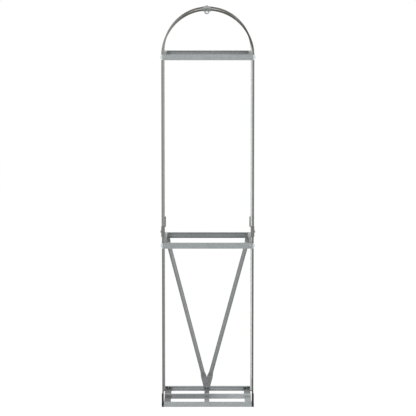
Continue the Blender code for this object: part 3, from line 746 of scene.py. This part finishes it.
def make_brace(side_name, material):
    """A brace tube, round in the middle and crushed flat where its bolts go through."""
    node = "brace_" + side_name
    foot = node_middle("brace_bolt_foot")
    top = node_middle("brace_bolt_rear_" + side_name)
    foot.y = top.y = node_middle("brace_left").y
    if side_name == "right":
        foot.y += TUBE_PAD + TUBE_PAD_GAP
    along = (top - foot).normalized()
    outward = (Vector((0, 1, 0)) - along * along.y).normalized()
    across = outward.cross(along)
    start = foot - along * TUBE_TIP
    length = (top - foot).length + 2 * TUBE_TIP
    shape = bmesh.new()
    skins = []
    for inset in (0, TUBE_WALL):
        loops = []
        for place, crushed, spread in tube_stations(length):
            width = TUBE_DIAMETER + (TUBE_PAD_WIDTH - TUBE_DIAMETER) * crushed
            height = TUBE_DIAMETER + (TUBE_PAD - TUBE_DIAMETER) * crushed
            section = tube_section(width * spread - 2 * inset, height - 2 * inset)
            loops.append([shape.verts.new(start + along * place + across * u + outward * v)
                          for u, v in section])
        join_loops(shape, loops)
        skins.append(loops)
    for last in (0, -1):
        join_loops(shape, [skins[0][last], skins[1][last]])
    bmesh.ops.recalc_face_normals(shape, faces=shape.faces)
    helper = helper_object(node + "_tube", shape)
    cutter = drilled(helper, [(foot, (0, 1, 0)), (top, (0, 1, 0))], TUBE_CUT)
    mesh = settle(helper, node + "_tube", TUBE_SMOOTH)
    bpy.data.objects.remove(cutter)
    finish_piece(node + "_tube", mesh, material, [node])


# Bolts, made with Geometry Nodes

def tree_with(name, floats):
    """A geometry tree with its input geometry and named sizes."""
    tree = bpy.data.node_groups.new(name, "GeometryNodeTree")
    tree.interface.new_socket("Geometry", in_out="INPUT", socket_type="NodeSocketGeometry")
    for label, default in floats:
        socket = tree.interface.new_socket(label, in_out="INPUT", socket_type="NodeSocketFloat")
        socket.default_value = default
    tree.interface.new_socket("Geometry", in_out="OUTPUT", socket_type="NodeSocketGeometry")
    return tree, tree.nodes.new("NodeGroupInput"), tree.nodes.new("NodeGroupOutput")


def cylinder_rings(tree, sides, rings):
    """A ringed unit cylinder; gives its mesh and each point's angle and share of the height."""
    tube = add_node(tree, "GeometryNodeMeshCylinder", fill_type="NGON")
    tube.inputs["Vertices"].default_value = sides
    tube.inputs["Side Segments"].default_value = rings
    tube.inputs["Radius"].default_value = 1.0
    tube.inputs["Depth"].default_value = 1.0
    place = tree.nodes.new("GeometryNodeInputPosition")
    split = tree.nodes.new("ShaderNodeSeparateXYZ")
    tree.links.new(place.outputs[0], split.inputs[0])
    angle = maths(tree, "ARCTAN2", split.outputs[1], split.outputs[0])
    share = maths(tree, "ADD", split.outputs[2], 0.5)
    return tube.outputs["Mesh"], angle, share


def polar_shape(tree, mesh, angle, radius, height):
    """Move a ring mesh to polar places."""
    join = tree.nodes.new("ShaderNodeCombineXYZ")
    tree.links.new(maths(tree, "MULTIPLY", radius, maths(tree, "COSINE", angle)), join.inputs[0])
    tree.links.new(maths(tree, "MULTIPLY", radius, maths(tree, "SINE", angle)), join.inputs[1])
    tree.links.new(height, join.inputs[2])
    move = tree.nodes.new("GeometryNodeSetPosition")
    tree.links.new(mesh, move.inputs["Geometry"])
    tree.links.new(join.outputs[0], move.inputs["Position"])
    return move.outputs["Geometry"]


def hexagon_part(tree, across, height, base, under_chamfer):
    """A chamfered hexagon, from base up to base + height."""
    mesh, angle, share = cylinder_rings(tree, HEXAGON_SIDES, 3)
    in_side = maths(tree, "FLOORED_MODULO", angle, SIXTH_TURN)
    folded = maths(tree, "SUBTRACT", in_side, SIXTH_TURN / 2)
    flat = maths(tree, "MULTIPLY", across, 0.5)
    hexagon = maths(tree, "DIVIDE", flat, maths(tree, "COSINE", folded))
    circle = maths(tree, "MULTIPLY", flat, CHAMFER_SHARE)
    corner = maths(tree, "SUBTRACT", hexagon, circle)
    drop = maths(tree, "MULTIPLY", corner, math.tan(CHAMFER_ANGLE))
    is_top = maths(tree, "GREATER_THAN", share, 0.9)
    is_high = maths(tree, "GREATER_THAN", share, 0.5)
    is_bottom = maths(tree, "LESS_THAN", share, 0.1)
    rounded = maths(tree, "MAXIMUM", is_top, maths(tree, "MULTIPLY", is_bottom, under_chamfer))
    radius = maths(tree, "SUBTRACT", hexagon, maths(tree, "MULTIPLY", rounded, corner))
    is_inner = maths(tree, "SUBTRACT", 1.0, maths(tree, "MAXIMUM", is_top, is_bottom))
    upper = maths(tree, "SUBTRACT", height, maths(tree, "MULTIPLY", is_inner, drop))
    lower_drop = maths(tree, "MAXIMUM", maths(tree, "MULTIPLY", drop, under_chamfer),
                       maths(tree, "MULTIPLY", height, 0.1))
    lower = maths(tree, "MULTIPLY", is_inner, lower_drop)
    lift = maths(tree, "MULTIPLY", is_high, maths(tree, "SUBTRACT", upper, lower))
    rise = maths(tree, "ADD", lower, lift)
    return polar_shape(tree, mesh, angle, radius, maths(tree, "ADD", base, rise))


def round_part(tree, radius, height, base, sides=DISC_SIDES):
    """A plain disc with a small chamfer on top, from base up to base + height."""
    mesh, angle, share = cylinder_rings(tree, sides, 2)
    is_top = maths(tree, "GREATER_THAN", share, 0.9)
    is_middle = maths(tree, "MULTIPLY", maths(tree, "GREATER_THAN", share, 0.4),
                      maths(tree, "LESS_THAN", share, 0.6))
    ease = maths(tree, "MINIMUM", maths(tree, "MULTIPLY", height, 0.25),
                 maths(tree, "MULTIPLY", radius, 0.15))
    across = maths(tree, "SUBTRACT", radius, maths(tree, "MULTIPLY", is_top, ease))
    rise = maths(tree, "ADD", maths(tree, "MULTIPLY", is_top, height),
                 maths(tree, "MULTIPLY", is_middle, maths(tree, "SUBTRACT", height, ease)))
    return polar_shape(tree, mesh, angle, across, maths(tree, "ADD", base, rise))


def dome_part(tree, radius, height, base):
    """A low round head."""
    mesh, angle, share = cylinder_rings(tree, DOME_SIDES, DOME_RINGS)
    turn = maths(tree, "MULTIPLY", share, DOME_ANGLE)
    across = maths(tree, "MULTIPLY", radius, maths(tree, "COSINE", turn))
    rise = maths(tree, "MULTIPLY", height,
                 maths(tree, "DIVIDE", maths(tree, "SINE", turn), math.sin(DOME_ANGLE)))
    return polar_shape(tree, mesh, angle, across, maths(tree, "ADD", base, rise))


def threaded_part(tree, radius, length, base):
    """The threaded end of a bolt, hanging from base down, with an eased tip."""
    mesh, angle, share = cylinder_rings(tree, THREAD_SIDES, THREAD_RINGS)
    depth = maths(tree, "MULTIPLY", maths(tree, "SUBTRACT", 1.0, share), length)
    phase = maths(tree, "ADD", maths(tree, "MULTIPLY", depth, 2 * math.pi / THREAD_PITCH), angle)
    wave = maths(tree, "ADD", maths(tree, "SINE", phase), 1.0)
    groove = maths(tree, "MULTIPLY", wave, GROOVE_SHARE)
    tip = maths(tree, "MULTIPLY", maths(tree, "LESS_THAN", share, 0.06), TIP_SHARE)
    across = maths(tree, "MULTIPLY", radius,
                   maths(tree, "SUBTRACT", maths(tree, "SUBTRACT", 1.0, groove), tip))
    return polar_shape(tree, mesh, angle, across, maths(tree, "SUBTRACT", base, depth))


def named_attribute(tree, name, kind):
    """The socket of one of the points' attributes."""
    node = add_node(tree, "GeometryNodeInputNamedAttribute", data_type=kind)
    node.inputs["Name"].default_value = name
    return node.outputs["Attribute"]


def make_bolt_tree(name, head_kind):
    """Bolts on points: head, washer, shank, nut and threaded end, along each point's own turn."""
    tree, given, out = tree_with(name, (
        ("Across flats", ACROSS_FLATS), ("Head height", HEAD_HEIGHT),
        ("Head radius", ROUND_HEAD_RADIUS), ("Washer radius", WASHER_RADIUS),
        ("Washer height", WASHER_HEIGHT), ("Shank radius", BOLT_RADIUS), ("Grip", BOLT_GRIP),
        ("Nut height", NUT_HEIGHT), ("Tail", BOLT_TAIL)))
    tree.interface.new_socket("Zinc", in_out="INPUT", socket_type="NodeSocketMaterial")
    size = given.outputs
    grip_end = maths(tree, "MULTIPLY", size["Grip"], -1.0)
    nut_end = maths(tree, "SUBTRACT", grip_end, size["Nut height"])
    head = []
    if head_kind == "round":
        head = [dome_part(tree, size["Head radius"], size["Head height"], 0.0)]
    elif head_kind == "hexagon":
        washer = round_part(tree, size["Washer radius"], size["Washer height"], 0.0)
        bare_height = maths(tree, "SUBTRACT", size["Head height"], size["Washer height"])
        hexagon = hexagon_part(tree, size["Across flats"], bare_height, size["Washer height"], 0.0)
        head = [washer, hexagon]
    nut = hexagon_part(tree, size["Across flats"], size["Nut height"], nut_end, 1.0)
    shank_length = maths(tree, "ADD", size["Grip"], size["Nut height"])
    shank = round_part(tree, size["Shank radius"], shank_length, nut_end, SHANK_SIDES)
    tail = threaded_part(tree, size["Shank radius"], size["Tail"], nut_end)
    turn = named_attribute(tree, "turn", "FLOAT_VECTOR")
    spin = tree.nodes.new("ShaderNodeCombineXYZ")
    tree.links.new(named_attribute(tree, "spin", "FLOAT"), spin.inputs[2])

    def on_points(parts):
        """The parts, joined and put on every point."""
        join = tree.nodes.new("GeometryNodeJoinGeometry")
        for part in parts:
            tree.links.new(part, join.inputs[0])
        spread = tree.nodes.new("GeometryNodeInstanceOnPoints")
        tree.links.new(given.outputs["Geometry"], spread.inputs["Points"])
        tree.links.new(join.outputs[0], spread.inputs["Instance"])
        tree.links.new(turn, spread.inputs["Rotation"])
        return spread.outputs["Instances"]

    everything = tree.nodes.new("GeometryNodeJoinGeometry")
    if head:
        spun = tree.nodes.new("GeometryNodeRotateInstances")
        tree.links.new(on_points(head), spun.inputs["Instances"])
        tree.links.new(spin.outputs[0], spun.inputs["Rotation"])
        tree.links.new(spun.outputs["Instances"], everything.inputs[0])
    tree.links.new(on_points([shank, nut, tail]), everything.inputs[0])
    real = tree.nodes.new("GeometryNodeRealizeInstances")
    tree.links.new(everything.outputs[0], real.inputs[0])
    paint = tree.nodes.new("GeometryNodeSetMaterial")
    tree.links.new(real.outputs[0], paint.inputs["Geometry"])
    tree.links.new(size["Zinc"], paint.inputs["Material"])
    tree.links.new(paint.outputs[0], out.inputs["Geometry"])
    return tree


HEX_BOLTS = make_bolt_tree("hexagon_bolts", "hexagon")
ROUND_BOLTS = make_bolt_tree("round_head_bolts", "round")
BARE_NUTS = make_bolt_tree("bare_nuts", "none")


def bolt_mesh(name, tree, places, zinc, **sizes):
    """The mesh of bolts of one zinc at (seat, outward) places."""
    dice = random.Random(name)
    shape = bmesh.new()
    for seat, _ in places:
        shape.verts.new(seat)
    helper = helper_object(name, shape)
    turns = []
    for _, outward in places:
        start = Vector((1, 0, 0)) if abs(outward.z) > 0.5 else Vector((0, 0, 1))
        turns += Matrix((start, outward.cross(start), outward)).transposed().to_euler()
    spins = [dice.uniform(0, SIXTH_TURN) for _ in places]
    helper.data.attributes.new("turn", "FLOAT_VECTOR", "POINT").data.foreach_set("vector", turns)
    helper.data.attributes.new("spin", "FLOAT", "POINT").data.foreach_set("value", spins)
    grower = helper.modifiers.new("bolts", "NODES")
    grower.node_group = tree
    wanted = {label.replace("_", " "): value for label, value in sizes.items()}
    wanted["Zinc"] = zinc
    for socket in tree.interface.items_tree:
        if socket.item_type == "SOCKET" and socket.in_out == "INPUT" and socket.name in wanted:
            grower[socket.identifier] = wanted[socket.name]
    return settle(helper, name, BOLT_SMOOTH)


def make_bolts(name, tree, places, nodes, zinc, **sizes):
    """Bolts at (seat, outward) places as one piece."""
    mesh = bolt_mesh(name, tree, places, zinc, **sizes)
    finish_piece(name, mesh, zinc, nodes)


def bolt_place(node, outward, head_height, tail):
    """Where a bolt's head sits and how long its grip is, from its solid's box."""
    low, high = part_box(node)
    middle = (low + high) / 2
    size = high - low
    length = abs(size.dot(outward))
    seat = middle + outward * (length / 2 - head_height)
    return seat, length - head_height - NUT_HEIGHT - tail


def make_bolt_set(name, tree, listed, head_height, tail, zinc=bolt_zinc):
    """One piece for a set of like bolts, listed as (node, outward)."""
    places = [(bolt_place(node, outward, head_height, tail)[0], outward)
              for node, outward in listed]
    grip = bolt_place(*listed[0], head_height, tail)[1]
    make_bolts(name, tree, places, [node for node, _ in listed], zinc, Grip=grip,
               Head_height=head_height, Tail=tail)


def circle_loop(shape, centre, across, up, radius):
    """New vertices on a circle round a point, in the plane of two directions."""
    turns = [2 * math.pi * i / EYE_SIDES for i in range(EYE_SIDES)]
    return [shape.verts.new(centre + (across * math.cos(turn) + up * math.sin(turn)) * radius)
            for turn in turns]


def make_eye_bolt():
    """The eye bolt: a bent ring on a threaded stem, with its nut on top of the ridge rail."""
    low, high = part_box("eye_bolt")
    middle = node_middle("eye_bolt")
    centre = Vector((middle.x, middle.y, low.z + EYE_DIAMETER / 2))
    shape = bmesh.new()
    loops = []
    for i in range(EYE_STEPS):
        turn = 2 * math.pi * i / EYE_STEPS
        spoke = Vector((math.cos(turn), 0, math.sin(turn)))
        loops.append(circle_loop(shape, centre + spoke * (EYE_DIAMETER - EYE_WIRE) / 2, spoke,
                                 Vector((0, 1, 0)), EYE_WIRE / 2))
    join_loops(shape, loops, closed_path=True)
    eye_top = low.z + EYE_DIAMETER
    stem = [circle_loop(shape, Vector((middle.x, middle.y, height)), Vector((1, 0, 0)),
                        Vector((0, 1, 0)), radius)
            for height, radius in ((eye_top - EYE_ROOT_DEPTH, EYE_ROOT_RADIUS),
                                   (eye_top + EYE_NECK, EYE_WIRE / 2),
                                   (high.z - EYE_TAIL - NUT_HEIGHT / 2, EYE_WIRE / 2))]
    join_loops(shape, stem)
    shape.faces.new(stem[0])
    shape.faces.new(stem[-1])
    bmesh.ops.recalc_face_normals(shape, faces=shape.faces)
    seat = Vector((middle.x, middle.y, high.z - EYE_TAIL - NUT_HEIGHT))
    nut = bolt_mesh("eye_nut", BARE_NUTS, [(seat, Vector((0, 0, -1)))], bolt_zinc, Grip=0.0,
                    Tail=EYE_TAIL)
    shape.from_mesh(nut)
    bpy.data.meshes.remove(nut)
    ring = settle(helper_object("eye_ring", shape), "eye_ring", TUBE_SMOOTH)
    finish_piece("eye_ring", ring, bolt_zinc, ["eye_bolt"])


def make_deck_bolts():
    """Low domed bolts where the floor rails cross the bearers."""
    places = []
    for column in ("left", "middle", "right"):
        for row in ("front", "middle", "rear"):
            low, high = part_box("floor_rail_" + row)
            y = high.y - DECK_BOLT_INSET if row == "rear" else low.y + DECK_BOLT_INSET
            seat = Vector((node_middle("bearer_" + column).x, y, high.z + DECK_HEAD_GAP))
            places.append((seat, Vector((0, 0, 1))))
    deck_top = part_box("floor_rail_front")[1].z
    grip = deck_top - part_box("bearer_middle")[1].z + DECK_HEAD_GAP + SHEET
    make_bolts("deck_bolts", ROUND_BOLTS, places, [], bolt_zinc, Grip=grip,
               Head_height=DECK_HEAD_HEIGHT, Tail=BOLT_TAIL)


# The rack

for end, name in FRONT_REAR:
    make_hoop(name, hoop_zinc if end < 0 else rear_hoop_zinc)
for _, name in LEFT_RIGHT:
    make_brace(name, tube_zinc)

sheets = []
for _, end, name in CORNERS:
    # Front posts carry painted shade, rear posts painted light.
    post_painted_light_and_shade = post_zinc if end < 0 else rear_post_zinc
    sleeve_finish_and_painted_light = REAR_SLEEVE_PAINTED_LIGHT.get(name, sleeve_zinc)
    sheets.append(("lower_post_" + name, post_painted_light_and_shade, "galvanised_steel"))
    sheets.append(("joint_sleeve_" + name, sleeve_finish_and_painted_light, "galvanised_steel"))
for end, name in FRONT_REAR:
    # Front cross rails carry painted highlights at their ends, rear cross rails painted shade.
    rail_painted_light_and_shade = cross_rail_zinc if end < 0 else rear_rail_zinc
    for level in LEVELS:
        sheets.append(("cross_rail_" + level + "_" + name, rail_painted_light_and_shade, "galvanised_rail"))
for _, name in LEFT_RIGHT:
    for level in LEVELS:
        sheets.append(("side_rail_" + level + "_" + name, side_rail_zinc, "galvanised_rail"))
for name, material in (("front", rail_zinc), ("middle", middle_rail_zinc),
                       ("rear", rear_floor_rail_painted_light_zinc)):
    sheets.append(("floor_rail_" + name, material, "galvanised_rail"))
for name, material in (("left", left_bearer_painted_shadow_zinc), ("middle", bearer_zinc),
                       ("right", right_bearer_zinc)):
    sheets.append(("bearer_" + name, material, "galvanised_rail"))
sheets.append(("ridge_rail", ridge_zinc, "galvanised_rail"))
for node, material, slot in sheets:
    finish_piece(node + "_sheet", rounded_copy(node, node + "_sheet"), material, [node])
for _, _, name in CORNERS:
    node = "shoe_" + name
    finish_piece(node + "_moulding", rounded_copy(node, node + "_moulding", SHOE_ROUND),
                 plastic, [node])

UPWARDS = Vector((0, 0, 1))
SIDEWAYS = {side: Vector((side, 0, 0)) for side, _ in LEFT_RIGHT}
ENDWAYS = {end: Vector((0, end, 0)) for end, _ in FRONT_REAR}


def side_bolts(kind):
    """The bolts of a kind at the four corners, with their heads to the sides."""
    return [(kind + "_" + name, SIDEWAYS[side]) for side, _, name in CORNERS]


make_bolt_set("joint_bolts", HEX_BOLTS, side_bolts("joint_bolt"), HEAD_HEIGHT, BOLT_TAIL)
make_bolt_set("shoe_bolts", ROUND_BOLTS, side_bolts("shoe_bolt"), SHOE_HEAD_HEIGHT, BOLT_TAIL)
for level in LEVELS:
    make_bolt_set("rail_bolts_" + level, HEX_BOLTS, side_bolts("rail_bolt_" + level), HEAD_HEIGHT,
                  SHORT_TAIL, painted_highlight_bolt_zinc)
    side_rail_bolts = [("side_rail_bolt_" + level + "_" + name, ENDWAYS[end])
                       for _, end, name in CORNERS if level == "top" or end < 0]
    make_bolt_set("side_rail_bolts_" + level, HEX_BOLTS, side_rail_bolts, HEAD_HEIGHT, BOLT_TAIL)
brace_bolts = [("brace_bolt_rear_" + name, ENDWAYS[1]) for _, name in LEFT_RIGHT]
make_bolt_set("brace_top_bolts", HEX_BOLTS, brace_bolts, HEAD_HEIGHT, BOLT_TAIL)
make_bolt_set("brace_foot_bolt", HEX_BOLTS, [("brace_bolt_foot", ENDWAYS[1])], HEAD_HEIGHT,
              SHORT_TAIL)
make_bolt_set("crown_bolts", HEX_BOLTS, [("crown_bolt", UPWARDS)], HEAD_HEIGHT, BOLT_TAIL)
make_eye_bolt()
make_deck_bolts()


# Floor, light and camera

def seen_directly(tree):
    """One for rays of the camera and for what mirrors and clear things show, otherwise zero."""
    path = add_node(tree, "ShaderNodeLightPath")
    seen = maths(tree, "MAXIMUM", path.outputs["Is Camera Ray"], path.outputs["Is Glossy Ray"])
    return maths(tree, "MAXIMUM", seen, path.outputs["Is Transmission Ray"])


def make_floor():
    """A plain pale floor that shows white to the camera and keeps a soft shadow."""
    shape = bmesh.new()
    bmesh.ops.create_grid(shape, x_segments=1, y_segments=1, size=FLOOR_SIZE)
    floor = helper_object("floor", shape)
    material, tree, shader = new_material("pale_floor")
    shader.inputs["Base Color"].default_value = (FLOOR_TONE, FLOOR_TONE, FLOOR_TONE, 1)
    shader.inputs["Roughness"].default_value = 0.9
    shader.inputs["Specular IOR Level"].default_value = 0.0
    glow = add_node(tree, "ShaderNodeEmission")
    glow.inputs["Strength"].default_value = FLOOR_GLOW
    mix = add_node(tree, "ShaderNodeMixShader")
    tree.links.new(maths(tree, "MULTIPLY", seen_directly(tree), FLOOR_GLOW_SHARE), mix.inputs[0])
    tree.links.new(shader.outputs[0], mix.inputs[1])
    tree.links.new(glow.outputs[0], mix.inputs[2])
    tree.links.new(mix.outputs[0], tree.nodes["Material Output"].inputs["Surface"])
    floor.data.materials.append(material)


def make_world():
    """Even light from all round, and white where the camera or a reflection looks."""
    world = bpy.data.worlds.new("studio")
    bpy.context.scene.world = world
    world.use_nodes = True
    tree = world.node_tree
    room = tree.nodes["Background"]
    room.inputs["Color"].default_value = (1, 1, 1, 1)
    strength = remap(tree, seen_directly(tree), 0.0, 1.0, ROOM_LIGHT, 1.0)
    tree.links.new(strength, room.inputs["Strength"])


def make_lamp(name, place, power):
    """A soft square lamp that looks at the rack's middle."""
    light = bpy.data.lights.new(name, "AREA")
    light.size = LAMP_SIZE
    light.energy = power
    lamp = bpy.data.objects.new(name, light)
    lamp.location = place
    lamp.rotation_euler = (Vector(LAMP_AIM) - Vector(place)).to_track_quat("-Z", "Y").to_euler()
    bpy.context.scene.collection.objects.link(lamp)


def make_camera():
    """A long lens a little above the rack's top, almost square to its front."""
    data = bpy.data.cameras.new("camera")
    data.sensor_width = CAMERA_SENSOR
    data.lens = CAMERA_LENS
    data.clip_start = CAMERA_NEAR
    data.clip_end = CAMERA_FAR
    camera = bpy.data.objects.new("camera", data)
    camera.location = CAMERA_PLACE
    camera.rotation_euler = CAMERA_TURN
    bpy.context.scene.collection.objects.link(camera)
    bpy.context.scene.camera = camera


make_floor()
make_world()
make_lamp("key_lamp", KEY_LAMP_PLACE, KEY_LAMP_POWER)
make_lamp("fill_lamp", FILL_LAMP_PLACE, FILL_LAMP_POWER)
make_camera()
bpy.context.scene.view_settings.view_transform = "Standard"
